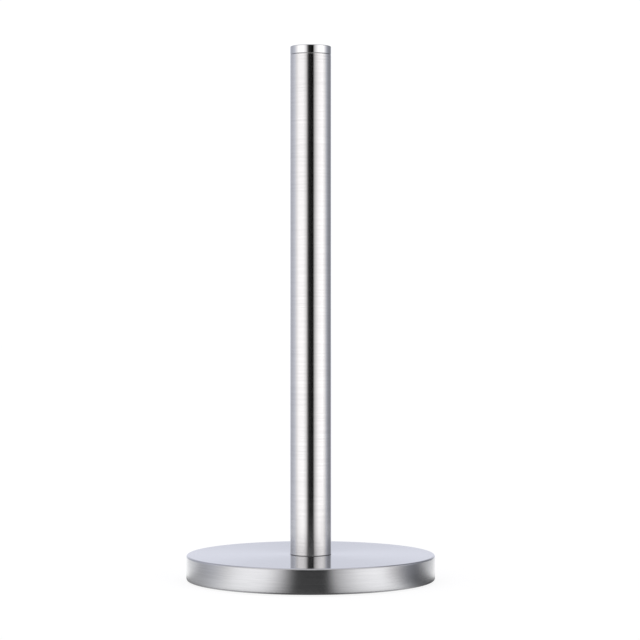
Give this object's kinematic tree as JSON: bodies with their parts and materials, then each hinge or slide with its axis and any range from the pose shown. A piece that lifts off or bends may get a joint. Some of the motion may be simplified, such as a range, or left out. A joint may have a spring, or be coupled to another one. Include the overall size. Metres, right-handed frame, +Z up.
{
  "type": "paper towel holder",
  "caption": "Free-standing holder: an upright brushed steel post that screws on a weighted round base, for a roll to drop over.",
  "frame": {"origin": "centre of the round base, on the surface that it stands on", "axes": "+Z up along the post's axis; -Y towards the front"},
  "size_m": [0.154, 0.154, 0.3305],
  "materials": {
    "pad_rubber": "matt black foam rubber",
    "brushed_disc": "brushed in circles round the axis",
    "cast_weight": "sand cast, dipped in black paint",
    "zinc_steel": "bright zinc plate",
    "washer_plastic": "moulded nylon",
    "brushed_tube": "brushed round the tube",
    "plug_metal": "turned, as machined",
    "polished_cap": "polished",
    "plug_plastic": "natural moulded nylon"
  },
  "bodies": {
    "base": {"antislip_pad": "pad_rubber", "base_shell": "brushed_disc", "counterweight": "cast_weight", "post_bolt": "zinc_steel", "flat_washer": "zinc_steel", "spring_washer": "zinc_steel", "jam_nut": "zinc_steel"},
    "seat_ring": {"seat_washer": "washer_plastic"},
    "post": {"post_tube": "brushed_tube", "threaded_plug": "plug_metal", "top_cap": "polished_cap", "cap_plug": "plug_plastic"}
  },
  "joints": [
    {"name": "post_turn", "type": "hinge", "parent": "base", "child": "seat_ring", "pos_m": [0, 0, 0.016], "axis": [0, 0, 1], "range_deg": [0, 2593]},
    {"name": "post_rise", "type": "slide", "parent": "seat_ring", "child": "post", "axis": [0, 0, 1], "range_m": [0, 0.009]}
  ],
  "couplings": [
    {"joint": "post_turn", "follows": "post_rise", "rad_per_m": 5026.5}
  ]
}
